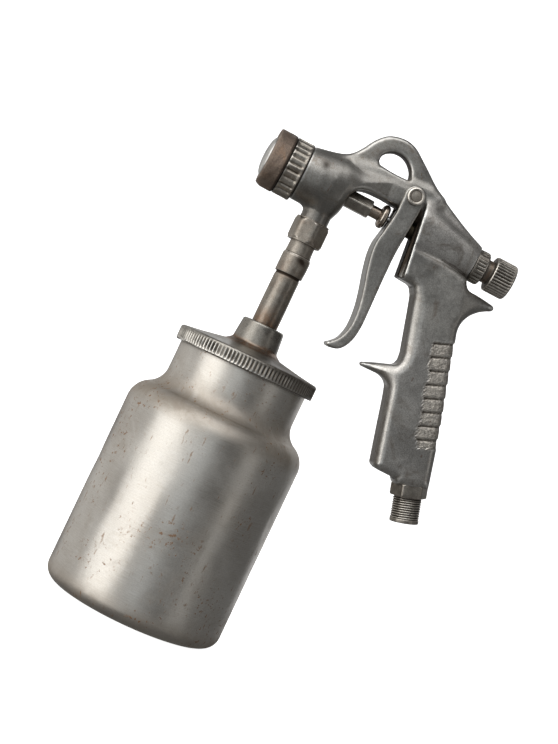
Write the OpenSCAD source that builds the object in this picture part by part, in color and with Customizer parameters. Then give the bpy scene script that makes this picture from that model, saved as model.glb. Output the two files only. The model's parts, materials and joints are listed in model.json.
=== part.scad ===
// Suction-feed spray gun: a cast gun on a one-litre cup, nozzle towards -X, trigger and grip in the XZ plane.
// The origin is the centre of the cup's base, and +Z runs up the axis of the cup, the lid and the fluid tube.
// Gun coordinates: p runs back along the needle from the tube's axis, q is at right angles to it, upwards.

/* [Stance] */
// Height of the needle above the cup's base, at the tube's axis
axis_z = 261; // [258:1:266]
// Slope of the needle, nozzle end up, in degrees
body_tilt = 1.7; // [0:0.1:3]

/* [Cup] */
// Outer radius of the cup
cup_r = 52.5; // [50:0.5:55]
// Thickness of the cup's wall
cup_wall = 1.6; // [1.2:0.1:2]
// Outer radius of the cup's neck
neck_r = 38.3; // [37.8:0.1:38.3]
// Height of the cup's rim above its base
cup_h = 153.5; // [150:0.5:153.5]
// Height at which the cup's straight side ends
side_h = 109; // [104:1:112]
// Radius of the cup's bottom edge
base_round = 8; // [5:0.5:10]
// Radius of the shoulder's outer curve
shoulder_round = 14; // [12:0.5:16]
// Radius of the curve from the shoulder into the neck
neck_round = 12; // [7:0.5:14]

/* [Lid and fluid tube] */
// Outer radius of the lid's knurled rim
lid_r = 41.7; // [41:0.1:43]
// Height of the lid's lower edge above the cup's base
lid_z = 148.8; // [148:0.1:149.5]
// Radius of the boss at the lid's centre, at its foot
boss_r = 13.4; // [12:0.1:15]
// Height of the top of the boss above the cup's base
boss_z = 176.2; // [172:0.2:180]
// Outer radius of the fluid tube
tube_r = 7.55; // [7.2:0.05:7.8]
// Height of the top of the fluid tube above the cup's base
tube_top = 214; // [210:1:216]
// Outer radius of the pickup tube inside the cup
pickup_r = 4.8; // [4:0.1:5.5]

/* [Gun body] */
// Radius of the barrel behind the retaining ring
barrel_r = 15.2; // [14.8:0.1:16]
// Thickness of the spine and the bridge, side to side
spine_w = 14; // [13:0.5:14]
// Thickness of the hanging hook, side to side
hook_w = 11; // [9:0.5:13]
// Thickness of the nose between the trigger's legs
nose_w = 13.4; // [12:0.1:13.6]
// Thickness of the grip, side to side
grip_w = 23; // [20:0.5:25]
// Radius of the rear housing at its end face
housing_r = 10; // [9.9:0.1:11]

/* [Trigger] */
// Thickness of the trigger's plate
trigger_t = 2.5; // [2:0.1:3]
// Overall width of the trigger, side to side
trigger_w = 19.6; // [19.4:0.1:22]

/* [Controls and fittings] */
// Radius of the retaining ring
ring_r = 17.1; // [16.5:0.1:18]
// Radius of the air cap
cap_r = 17.3; // [16.5:0.1:18]
// Radius of the fluid knob
knob_r = 10.4; // [9:0.1:12]
// Radius of the inlet thread over its crests, for a G 3/8 hose nut
inlet_r = 8.33; // [8.33]
// Length of the inlet thread
inlet_l = 15; // [13:0.5:16]
// Width of the inlet's hexagon across its flats
inlet_hex = 19; // [17:0.5:22]
// Width of the gland's hexagon across its flats
gland_hex = 10; // [9.5:0.1:11]

/* [Hidden] */
$fn = 96;

// Gap between a turning or sliding part and its bearing, on the radius
run_gap = 0.08;
// Overlap that carries a cut cleanly through a face
cut = 1;

// Stations along the needle, as p
boss_front = -24.5;
barrel_front = -17.6;
cap_front = -38.5;
cap_back = -28.2;
ring_front = -27.9;
nozzle_tip = -41;
gland_front = 5;
head_back = 11.5;
gland_screw_front = 16;
hex_back = 26;
disc_front = 32;
disc_back = 36.4;
nose_front = 52.3;
valve_seat_p = 61.5;
housing_back = 91.6;
bush_back = 98.9;
knob_front = 103.2;
knob_back = 116.2;

// Stations inside the valve chamber, as p
stem_front_p = 41.6;
stem_back_p = 66;
seal_h = 2;
collar_p = 67;
bush_front = 81;
seat_p = 98;

// Radii of the bores on the needle axis
needle_r = 1.6;
fluid_bore_r = 4;
nozzle_thread_r = 6;
boss_thread_r = 13;
gland_thread_r = 4.2;
gland_screw_r = 3.55;
packing_r = 2.7;
guide_r = 4.6;
chamber_r = 8.5;
knob_stem_r = 6.8;
knob_bore_r = 4.3;
stem_r = 3.4;

// The air passage through the bridge, above the needle
air_q = 10.9;
air_r = 1.8;

// The trigger's pivot
pivot_p = 44.3;
pivot_q = 17.1;
pin_r = 2.95;
pivot_head_r = 6.3;
// The back of the trigger's front wall, level with the needle
trigger_web_p = 41;

// The inlet: the end of its thread in gun coordinates, and its lean
inlet_p = 124.2;
inlet_q = -147.9;
inlet_lean = 18;
hex_l = 7;
shank_r = 7;
shank_l = 12;

// The coupling below the gun's body
stub_r = 8.4;
stub_z = 236;
nut_z = 226.6;
nut_h = 13.5;
gasket_h = 1.5;

// Points on an arc about c, from angle a to angle b, in n steps
function arc(c, r, a, b, n = 10) =
    [for (i = [0:n]) let (t = a + (b - a) * i / n) c + r * [cos(t), sin(t)]];

// A solid of revolution about the needle, from an outline of [radius, p] points
module turned(outline) on_axis(0) rotate_extrude() polygon(outline);
module gun_frame() translate([0, 0, axis_z]) rotate([0, body_tilt, 0]) children();
module on_axis(p) gun_frame() translate([p, 0, 0]) rotate([0, 90, 0]) children();
module side_plate(width) gun_frame() rotate([90, 0, 0]) linear_extrude(width, center = true) children();
module inlet_frame(s) gun_frame() translate([inlet_p, 0, inlet_q]) rotate([0, -inlet_lean, 0])
    translate([0, 0, s]) children();
module on_pivot(y) gun_frame() translate([pivot_p, y, pivot_q]) rotate([-90, 0, 0]) children();
module hexagon_bar(across, h) cylinder(r = across / 2 / cos(30), h = h, $fn = 6);

// ---- Body casting ----

// The spine, seen from the side: the bridge over the gap, the hook above it and the slope to the rear
module spine_outline() {
    hook_c = [26, 25.5];
    hook_r = 18.4;
    polygon(concat(
        [[-14, 8], [-14, 15.8], [-0.6, 20.6]],
        arc([-2, 30], 8, -75, -25, 5),
        arc(hook_c, hook_r, 160, 58, 14),
        [[49.7, 31], [57, 26.2], [housing_back, housing_r - 0.5], [housing_back, 0], [nose_front, 0]],
        [[nose_front, 8], [16, 8], [9, 0], [-14, 0]]));
}

module hook_eye() {
    eye_c = [27, 25];
    eye_r = 10;
    polygon(arc(eye_c, eye_r, 0, 180, 16));
}

// Hook, bridge and spine: thin at the hook, thick along the bridge
module spine() {
    bridge_top = 24;
    side_plate(hook_w) difference() {
        spine_outline();
        hook_eye();
    }
    side_plate(spine_w) intersection() {
        spine_outline();
        translate([-20, -5]) square([120, bridge_top + 5]);
    }
}

// The nose, which the trigger's legs pass on both sides
module nose_outline() polygon([[nose_front, 10], [nose_front, 0], [56, -26.5], [70, -27.5], [70, 10]]);

// The grip with its rear beak, front tang and flat foot
module grip_outline() {
    polygon(concat(
        [[57.5, 10], [57.5, -26.7], [65, -26.7]],
        arc([65, -30.2], 3.5, 90, 16, 5),
        [[78.8, -65]],
        arc([75.4, -66.5], 4, 16, -74, 5),
        [[61.5, -77.6]],
        arc([61, -79], 1.5, 70, 270, 6),
        [[73, -81]],
        arc([76, -86.5], 5.5, 80, 15, 5),
        [[91.5, -127.3], [106, -127.8], [108, -130], [126.5, -124]],
        [[100.5, -42]],
        arc([110.6, -37.8], 11, 198, 118, 6),
        [[113.5, -19]],
        arc([113, -17.4], 1.7, -60, 90, 6),
        [[94, -13.5], [housing_back, -9], [85, 0], [72, 8]]));
}

// The round housing of the air valve and the needle spring
module housing() {
    front_r = 11.5;
    on_axis(57.5) cylinder(r1 = front_r, r2 = housing_r, h = housing_back - 57.5);
}

// The threaded boss, the barrel and the head, which narrows to the gland
module barrel() {
    back_r = 10;
    turned([[0, boss_front], [boss_thread_r, boss_front], [boss_thread_r, barrel_front],
        [barrel_r, barrel_front], [barrel_r, 1], [barrel_r - 2, 6], [back_r, head_back], [0, head_back]]);
}

// The stub that takes the coupling nut, flared into the head
module stub() {
    translate([0, 0, stub_z]) cylinder(r = stub_r, h = axis_z - stub_z);
    translate([0, 0, 247]) cylinder(r1 = stub_r, r2 = 12, h = 6);
}

// The bores for nozzle, fluid and gland, and the spot face that the gland's hexagon sits on
module fluid_ways() {
    spot_r = 6.3;
    on_axis(boss_front - cut) cylinder(r = nozzle_thread_r, h = cut + 15);
    on_axis(boss_front) cylinder(r = fluid_bore_r, h = 30);
    on_axis(gland_front) cylinder(r = gland_thread_r, h = head_back);
    on_axis(head_back) cylinder(r = spot_r, h = hex_back - head_back);
    translate([0, 0, stub_z - cut]) cylinder(r = fluid_bore_r, h = axis_z - stub_z + cut);
}

// The ring of air behind the baffle, the passages from the valve, and the way up the grip
module air_ways() {
    link_p = 59.3;
    on_axis(boss_front - cut) difference() {
        cylinder(r = 12.6, h = 3);
        cylinder(r = 7.3, h = 3);
    }
    gun_frame() translate([boss_front, 0, air_q]) rotate([0, 90, 0])
        cylinder(r = air_r, h = link_p - boss_front);
    gun_frame() translate([link_p, 0, 0]) cylinder(r = air_r, h = air_q);
    on_axis(nose_front - cut) cylinder(r = guide_r, h = valve_seat_p - nose_front + 2 * cut);
    on_axis(valve_seat_p) cylinder(r = chamber_r, h = housing_back - valve_seat_p + cut);
    inlet_frame(inlet_l + hex_l - cut) cylinder(r = shank_r, h = shank_l + cut);
    inlet_frame(inlet_l + hex_l) cylinder(r = fluid_bore_r, h = 132);
}

module body_casting() color("#8b8a86") {
    difference() {
        union() {
            barrel();
            stub();
            spine();
            housing();
            side_plate(nose_w) nose_outline();
            side_plate(grip_w) grip_outline();
        }
        fluid_ways();
        air_ways();
        on_pivot(-spine_w) cylinder(r = pin_r, h = 2 * spine_w);
    }
}

// ---- Nozzle end ----

module fluid_nozzle() color("#b39a5a") {
    seat_p = -40.5;
    turned([[nozzle_thread_r, boss_front + 14], [nozzle_thread_r, -26], [8, -26], [8, -29.5], [5, -29.5],
        [1.6, -39.3], [1.6, nozzle_tip], [0.85, nozzle_tip], [0.85, seat_p], [1.9, -31], [fluid_bore_r, -28],
        [fluid_bore_r, boss_front + 14]]);
}

module air_baffle() color("#a0a0a0") {
    holes = 6;
    difference() {
        turned([[nozzle_thread_r, -26], [12.4, -26], [12.4, boss_front], [nozzle_thread_r, boss_front]]);
        for (i = [0:holes - 1])
            on_axis(-27) rotate(360 / holes * i) translate([10, 0, 0]) cylinder(r = 1, h = 3);
    }
}

// The ring screws onto the boss, and its front lip holds the air cap's flange
module retaining_ring() color("#847f77") {
    lip_r = 14.75;
    thread_r = boss_thread_r + run_gap;
    rear = barrel_front - 0.1;
    turned([[lip_r, ring_front], [ring_r - 0.8, ring_front], [ring_r, ring_front + 0.8], [ring_r, rear - 1],
        [ring_r - 1.2, rear], [thread_r, rear], [thread_r, boss_front + 0.1], [15.5, boss_front + 0.1],
        [15.5, -26.6], [lip_r, -26.6]]);
}

module air_cap() color("#6f6259") {
    skirt_r = 14.6;
    flange_r = 15.4;
    inner_r = 12.6;
    turned([[11.5, cap_front], [cap_r - 1, cap_front], [cap_r, cap_front + 1], [cap_r, cap_back - 0.5],
        [cap_r - 0.5, cap_back], [skirt_r, cap_back], [skirt_r, -26.5], [flange_r, -26.5], [flange_r, -24.8],
        [inner_r, -24.8], [inner_r, -35.5], [11.5, -35.5]]);
}

// A pale domed disc, pressed into the air cap, with the hole that the nozzle's tip stands in
module air_cap_insert() color("#c9c7c1") {
    disc_r = 11.5;
    hole_r = 2.2;
    dome_h = 3;
    dome_r = (disc_r * disc_r + dome_h * dome_h) / (2 * dome_h);
    turned(concat(
        [[disc_r, -35.5]],
        arc([0, cap_front - dome_h + dome_r], dome_r, -acos(disc_r / dome_r), -acos(hole_r / dome_r), 8),
        [[hole_r, -39.8], [8, -35.5]]));
}

// ---- Gland ----

module gland_housing() color("#7d7a74") {
    difference() {
        union() {
            on_axis(gland_front) cylinder(r = gland_thread_r, h = head_back - gland_front);
            on_axis(head_back) hexagon_bar(gland_hex, hex_back - head_back);
        }
        on_axis(gland_front - cut) cylinder(r = packing_r, h = 20);
        on_axis(gland_screw_front) cylinder(r = gland_screw_r, h = 20);
    }
}

// The screw's nose presses the packing, and its round head is turned by hand
module gland_screw() color("#a8937c") {
    bore_r = needle_r + run_gap;
    head_r = 7;
    turned([[bore_r, 13], [packing_r, 13], [packing_r, gland_screw_front], [gland_screw_r, gland_screw_front],
        [gland_screw_r, disc_front], [head_r - 1.6, disc_front], [head_r, disc_front + 1.4],
        [head_r, disc_back - 1.4], [head_r - 1.6, disc_back], [bore_r, disc_back]]);
}

module needle_packing() color("#e8e6df") {
    rings = 3;
    pitch = 2;
    ring_h = 1.8;
    bore_r = needle_r + 0.02;
    for (p = [6.5:pitch:6.5 + pitch * (rings - 1)])
        turned([[bore_r, p], [packing_r, p], [packing_r, p + ring_h], [bore_r, p + ring_h]]);
}

// ---- Needle, its spring and the knob ----

module fluid_needle() color("#c0c0c0") {
    needle_end = 92;
    turned([[0, -42], [0.15, -42], [0.79, -40.5], [needle_r, -33.2], [needle_r, needle_end],
        [0, needle_end]]);
}

module needle_collar() color("#b39a5a") {
    collar_r = 4.2;
    turned([[needle_r, collar_p], [collar_r, collar_p], [collar_r, collar_p + 3], [needle_r, collar_p + 3]]);
}

// A coil spring between two stations on the needle, as one swept tube
module coil(p0, p1, mean_r, wire_r, turns) {
    sides = 8;
    steps = 16 * turns;
    rise = p1 - p0 - 2 * wire_r;
    ring = [for (i = [0:steps]) let (a = 360 * turns * i / steps) [for (k = [0:sides - 1])
        let (b = 360 * k / sides, r = mean_r + wire_r * cos(b))
        [r * cos(a), r * sin(a), p0 + wire_r + rise * i / steps + wire_r * sin(b)]]];
    points = [for (row = ring) each row];
    walls = [for (i = [0:steps - 1], k = [0:sides - 1]) let (n = (k + 1) % sides)
        each [[i * sides + k, i * sides + n, (i + 1) * sides + n],
            [i * sides + k, (i + 1) * sides + n, (i + 1) * sides + k]]];
    first = [for (k = [sides - 1:-1:0]) k];
    last = [for (k = [0:sides - 1]) steps * sides + k];
    on_axis(0) polyhedron(points, concat(walls, [first], [last]));
}

module needle_spring() color("#9a9a9a") coil(collar_p + 3, seat_p, 3, 0.45, 11);

module spring_seat() color("#b39a5a") on_axis(seat_p) cylinder(r = knob_bore_r - run_gap, h = 2);

module fluid_knob() color("#6c6a66") {
    stem_front = 84;
    turned([[knob_bore_r, stem_front], [knob_stem_r, stem_front], [knob_stem_r, knob_front],
        [knob_r - 1, knob_front], [knob_r, knob_front + 1], [knob_r, knob_back - 1.5],
        [knob_r - 1.5, knob_back], [0, knob_back], [0, seat_p + 2], [knob_bore_r, seat_p + 2]]);
}

module rear_bush() color("#847f77") {
    flange_r = 9.8;
    turned([[knob_stem_r + run_gap, bush_front], [chamber_r, bush_front], [chamber_r, housing_back],
        [flange_r, housing_back], [flange_r, bush_back - 1.2], [flange_r - 1.2, bush_back],
        [knob_stem_r + run_gap, bush_back]]);
}

// ---- Air valve ----

module valve_guide() color("#b39a5a") {
    bore_r = stem_r + run_gap;
    turned([[bore_r, 50.5], [guide_r, 50.5], [guide_r, 57], [bore_r, 57]]);
}

// The hollow stem rides on the needle, and the trigger pushes its head
module air_valve_stem() color("#b39a5a") {
    head_r = 4.6;
    head_back_p = stem_front_p + 2.4;
    flange_r = 7;
    flange_p = valve_seat_p + seal_h;
    bore_r = needle_r + run_gap;
    turned([[bore_r, stem_front_p], [head_r, stem_front_p], [head_r, head_back_p], [stem_r, head_back_p],
        [stem_r, flange_p], [flange_r, flange_p], [flange_r, stem_back_p], [bore_r, stem_back_p]]);
}

module air_valve_seal() color("#2b2b2b") {
    seal_r = 6.6;
    turned([[stem_r, valve_seat_p], [seal_r, valve_seat_p], [seal_r, valve_seat_p + seal_h],
        [stem_r, valve_seat_p + seal_h]]);
}

module air_valve_spring() color("#9a9a9a") coil(stem_back_p, bush_front, 7.35, 0.5, 6);

// ---- Trigger ----

// The trigger seen from the side; the front edge bellies out, and the toe curls forward
module trigger_outline() {
    polygon(concat(
        arc([pivot_p, pivot_q], pivot_head_r, -15, 195, 14),
        [[38.6, 3], [36.2, -15], [36.8, -23], [41.6, -41], [44.5, -56]],
        [[44.7, -65], [43, -71.6], [38.6, -76.2]],
        arc([38.6, -77.6], 1.4, 100, 270, 5),
        [[43, -78.7], [47.6, -74.5], [50, -68], [50.4, -60], [49.3, -30], [49.9, 6]]));
}

// What the channel leaves open behind the trigger's front wall, between its legs
module channel_outline() {
    polygon([[trigger_web_p, 60], [trigger_web_p, 0], [trigger_web_p - 1.6, -14], [trigger_web_p - 0.2, -22],
        [trigger_web_p + 4.6, -42], [trigger_web_p + 7.6, -52], [70, -60], [70, 60]]);
}

// The opening in the front wall: it ends below the bridge, and the slot lets the needle through
module trigger() color("#8f8e8a") {
    slot_w = 5;
    difference() {
        side_plate(trigger_w) trigger_outline();
        side_plate(trigger_w - 2 * trigger_t) channel_outline();
        side_plate(trigger_w - 2 * trigger_t) translate([20, 5.5]) square([40, 30]);
        side_plate(slot_w) translate([30, -4.5]) square([30, 8]);
        on_pivot(-trigger_w) cylinder(r = pin_r + run_gap, h = 2 * trigger_w);
    }
}

module trigger_pin() color("#7d7c78") {
    head_r = 5;
    head_h = 2.4;
    half = trigger_w / 2 + 0.2;
    on_pivot(-half) cylinder(r = pin_r, h = 2 * half);
    on_pivot(-half - head_h) cylinder(r1 = head_r - 0.6, r2 = head_r, h = 0.6);
    on_pivot(-half - head_h + 0.6) cylinder(r = head_r, h = head_h - 0.6);
}

module trigger_pin_screw() color("#7d7c78") {
    head_r = 4.5;
    head_h = 2;
    slot_w = 1;
    difference() {
        on_pivot(trigger_w / 2 + 0.2) cylinder(r = head_r, h = head_h);
        on_pivot(trigger_w / 2 + 0.2 + head_h) cube([2 * head_r + cut, slot_w, 2 * slot_w], center = true);
    }
}

// ---- Inlet ----

module air_inlet_nipple() color("#6f6c66") {
    difference() {
        union() {
            inlet_frame(0) cylinder(r = inlet_r, h = inlet_l);
            inlet_frame(inlet_l) hexagon_bar(inlet_hex, hex_l);
            inlet_frame(inlet_l + hex_l) cylinder(r = shank_r, h = shank_l);
        }
        inlet_frame(-cut) cylinder(r = 4.5, h = inlet_l + hex_l + shank_l + 2 * cut);
    }
}

// ---- Coupling, fluid tube and lid ----

module coupling_nut() color("#77716a") {
    across = 19;
    worn_r = 10.4;
    neck_gap_r = 7.4;
    turned = -14;
    difference() {
        intersection() {
            translate([0, 0, nut_z]) rotate([0, 0, turned]) hexagon_bar(across, nut_h);
            translate([0, 0, nut_z]) cylinder(r = worn_r, h = nut_h);
        }
        translate([0, 0, nut_z - cut]) cylinder(r = neck_gap_r, h = nut_h);
        translate([0, 0, nut_z + 6.3]) cylinder(r = stub_r + run_gap, h = nut_h);
    }
}

// The sleeve takes the tube below, and its flange is drawn up against the stub above
module fluid_tailpiece() color("#7f7a72") {
    sleeve_z = 207;
    sleeve_r = 8.15;
    neck = 7.3;
    bore = 5.5;
    rotate_extrude() polygon([
        [tube_r, sleeve_z], [sleeve_r, sleeve_z], [sleeve_r, 220.5], [neck, 223.5], [neck, 233],
        [stub_r - 0.2, 233], [stub_r - 0.2, stub_z], [bore, stub_z], [bore, tube_top], [tube_r, tube_top]
    ]);
}

module fluid_tube() color("#8a847a") {
    tube_foot = 162;
    rotate_extrude() polygon([[5.5, tube_foot], [tube_r, tube_foot], [tube_r, tube_top], [5.5, tube_top]]);
}

module cup_lid() color("#8b8781") {
    rim_top = 157.3;
    roof_z = cup_h + gasket_h;
    vent_r = 0.8;
    difference() {
        rotate_extrude() polygon(concat(
            [[neck_r + 2 * run_gap, lid_z], [lid_r - 0.8, lid_z], [lid_r, lid_z + 0.8]],
            [[lid_r, rim_top - 1.4], [lid_r - 1.4, rim_top], [boss_r + 1.6, 161.3], [boss_r, 163]],
            [[boss_r - 0.9, boss_z - 3]],
            arc([boss_r - 3.9, boss_z - 3], 3, 0, 90, 6),
            [[tube_r, boss_z], [tube_r, 162], [pickup_r, 162], [pickup_r, 151], [9, 151], [9, roof_z],
                [neck_r + 2 * run_gap, roof_z]]));
        translate([0, 25, 150]) cylinder(r = vent_r, h = 20, $fn = 24);
    }
}

module pickup_tube() color("#9a948a") {
    foot_z = 7;
    slant = 20;
    difference() {
        translate([0, 0, foot_z]) cylinder(r = pickup_r, h = 162 - foot_z);
        translate([0, 0, foot_z - cut]) cylinder(r = pickup_r - 1.2, h = 170);
        translate([-20, -20, foot_z - 20]) rotate([0, -slant, 0]) cube([60, 40, 20]);
    }
}

module lid_gasket() color("#4a4640") {
    rotate_extrude() polygon([[neck_r - 6, cup_h], [neck_r, cup_h], [neck_r, cup_h + gasket_h],
        [neck_r - 6, cup_h + gasket_h]]);
}

// ---- Cup ----

// One face of the cup's wall, from the base's centre to the rim, set in by t from the outer face
function cup_face(t) =
    let (
        outer = [cup_r - shoulder_round, side_h],
        across = neck_r + neck_round - outer[0],
        rise = sqrt(pow(shoulder_round + neck_round, 2) - across * across),
        turn = atan2(rise, across),
        inner = [neck_r + neck_round, side_h + rise])
    concat(
        [[0, t]],
        arc([cup_r - base_round, base_round], base_round - t, -90, 0, 8),
        arc(outer, shoulder_round - t, 0, turn, 12),
        arc(inner, neck_round + t, 180 + turn, 180, 8),
        [[neck_r - t, cup_h]]);

function reversed(v) = [for (i = [len(v) - 1:-1:0]) v[i]];

module cup() color("#a9a69f") {
    rotate_extrude($fn = 180) polygon(concat(cup_face(0), reversed(cup_face(cup_wall))));
}

body_casting();
fluid_nozzle();
air_baffle();
retaining_ring();
air_cap();
air_cap_insert();
gland_housing();
gland_screw();
needle_packing();
fluid_needle();
needle_collar();
needle_spring();
spring_seat();
fluid_knob();
rear_bush();
valve_guide();
air_valve_stem();
air_valve_seal();
air_valve_spring();
trigger();
trigger_pin();
trigger_pin_screw();
air_inlet_nipple();
coupling_nut();
fluid_tailpiece();
fluid_tube();
cup_lid();
pickup_tube();
lid_gasket();
cup();
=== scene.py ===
"""Looks of the suction-feed spray gun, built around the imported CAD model.

Shapes are worked out in millimetres. The gun has coordinates of its own, as in the CAD: p runs back along the
needle from the fluid tube's axis, q upwards at right angles to it, and y is the part's own Y.
"""

import json
import math

import bpy
import numpy as np
from mathutils import Matrix, Vector


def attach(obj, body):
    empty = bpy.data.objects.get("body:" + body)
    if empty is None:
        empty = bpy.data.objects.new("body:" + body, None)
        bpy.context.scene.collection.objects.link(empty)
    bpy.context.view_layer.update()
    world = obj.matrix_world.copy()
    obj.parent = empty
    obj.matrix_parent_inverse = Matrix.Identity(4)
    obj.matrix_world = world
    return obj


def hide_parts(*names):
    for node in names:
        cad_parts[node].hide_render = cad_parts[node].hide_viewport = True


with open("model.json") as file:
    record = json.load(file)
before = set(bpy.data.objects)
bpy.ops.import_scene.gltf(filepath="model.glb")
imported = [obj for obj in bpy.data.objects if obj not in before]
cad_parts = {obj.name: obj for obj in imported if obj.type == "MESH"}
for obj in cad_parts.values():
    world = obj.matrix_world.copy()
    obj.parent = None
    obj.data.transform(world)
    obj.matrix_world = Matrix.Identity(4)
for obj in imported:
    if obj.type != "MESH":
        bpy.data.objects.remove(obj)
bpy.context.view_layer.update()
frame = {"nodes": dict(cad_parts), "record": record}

TILT = math.radians(1.7)
COS, SIN = math.cos(TILT), math.sin(TILT)
AXIS_Z = 261.0
MM = 0.001
TAU = 2 * math.pi

P_AXIS = np.array([COS, 0, -SIN])
Q_AXIS = np.array([SIN, 0, COS])
Y_AXIS = np.array([0.0, 1, 0])
GUN_ORIGIN = np.array([0, 0, AXIS_Z])


def gun_point(p, q):
    return GUN_ORIGIN + p * P_AXIS + q * Q_AXIS


# Frames that pieces are turned in: an origin and the directions of local x, y and z
ON_NEEDLE = (GUN_ORIGIN, Q_AXIS, -Y_AXIS, P_AXIS)
UPRIGHT = (np.zeros(3), np.array([1.0, 0, 0]), np.array([0, 1.0, 0]), np.array([0, 0, 1.0]))
PIVOT_P, PIVOT_Q = 44.3, 17.1
PIVOT = (gun_point(PIVOT_P, PIVOT_Q), P_AXIS, Q_AXIS, -Y_AXIS)
PIVOT_FAR = (gun_point(PIVOT_P, PIVOT_Q), Q_AXIS, P_AXIS, Y_AXIS)
# The air inlet leans back from the needle's normal by this much
LEAN = math.radians(18)
# Upwards into the grip, and at right angles to that, to the rear
INLET_Z = math.cos(LEAN) * Q_AXIS - math.sin(LEAN) * P_AXIS
INLET_X = math.cos(LEAN) * P_AXIS + math.sin(LEAN) * Q_AXIS
INLET = (gun_point(124.2, -147.9), INLET_X, np.cross(INLET_Z, INLET_X), INLET_Z)


# ---------------------------------------------------------------------------- materials


class Tree:
    """Short calls for building a material's nodes."""

    def __init__(self, name):
        self.material = bpy.data.materials.new(name)
        self.material.use_nodes = True
        self.nodes, self.links = self.material.node_tree.nodes, self.material.node_tree.links
        self.shader = self.nodes["Principled BSDF"]
        self.place = self.node("TexCoord", "Object")

    def node(self, kind, output, inputs=(), **settings):
        """Adds a node with those settings and inputs, and returns the named output."""
        node = self.nodes.new("ShaderNode" + kind)
        for name, value in settings.items():
            setattr(node, name, value)
        for name, value in dict(inputs).items():
            self.put(node.inputs[name], value)
        return node.outputs[output]

    def put(self, socket, value):
        """Links or sets a socket. A colour is a tuple of three."""
        if isinstance(value, bpy.types.NodeSocket):
            self.links.new(value, socket)
        elif isinstance(value, tuple) and socket.type == "RGBA":
            socket.default_value = (*value, 1)
        else:
            socket.default_value = value

    def finished(self, colour, rough, normal, metallic=1.0):
        """The material, with those inputs on its shader."""
        inputs = {"Base Color": colour, "Roughness": rough, "Metallic": metallic, "Normal": normal}
        for name, value in inputs.items():
            self.put(self.shader.inputs[name], value)
        return self.material

    def noise(self, scale, detail, rough, stretch=None, distortion=0.0, place=None):
        """A noise of that many features a metre. stretch gives each axis a scale of its own."""
        place = place or self.place
        if stretch is not None:
            place = self.node("Mapping", "Vector", {"Vector": place, "Scale": stretch})
        inputs = {
            "Vector": place, "Scale": scale, "Detail": detail, "Roughness": rough, "Distortion": distortion,
        }
        return self.node("TexNoise", "Fac", inputs)

    def attribute(self, name):
        return self.node("Attribute", "Fac", attribute_name=name)

    def hollows(self, distance):
        """1 in corners and seams, falling to 0 in the open."""
        open_air = self.node("AmbientOcclusion", "AO", {"Distance": distance}, samples=6)
        return self.minus(1.0, open_air)

    def math(self, what, a, b, clamp=False):
        return self.node("Math", "Value", {0: a, 1: b}, operation=what, use_clamp=clamp)

    def plus(self, a, b, clamp=False):
        return self.math("ADD", a, b, clamp)

    def minus(self, a, b):
        return self.math("SUBTRACT", a, b)

    def times(self, a, b, clamp=False):
        return self.math("MULTIPLY", a, b, clamp)

    def larger(self, a, b):
        return self.math("MAXIMUM", a, b)

    def swing(self, value, amount):
        """A noise moved to lie about 0, times amount."""
        return self.times(self.minus(value, 0.5), amount)

    def ramp(self, value, low, high, to_low=0.0, to_high=1.0):
        """value from low to high, smoothed and moved to to_low..to_high."""
        inputs = {"Value": value, "From Min": low, "From Max": high, "To Min": to_low, "To Max": to_high}
        return self.node("MapRange", "Result", inputs, interpolation_type="SMOOTHSTEP")

    def mix(self, factor, a, b):
        inputs = {"Factor": factor, "A": a, "B": b}
        return self.node("Mix", "Result", inputs, data_type="RGBA")

    def bump(self, height, strength, distance, below=None):
        inputs = {"Height": height, "Strength": strength, "Distance": distance}
        if below is not None:
            inputs["Normal"] = below
        return self.node("Bump", "Normal", inputs)

    def grime_and_shade(self, wear, broad, distance, full, least, inner, inner_amount):
        """Darkening: by ambient occlusion in corners and seams, in the surface's own hollows, and where a
        point attribute puts soot or painted shade.
        """
        corners = self.ramp(self.hollows(distance), 0.3, full)
        corners = self.times(corners, self.ramp(broad, 0.3, 0.55, least, 1.0))
        sunk = self.times(self.ramp(self.times(wear, -1.0), *inner), inner_amount)
        return self.larger(self.larger(corners, sunk), self.attribute("soot_and_shade"))


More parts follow.
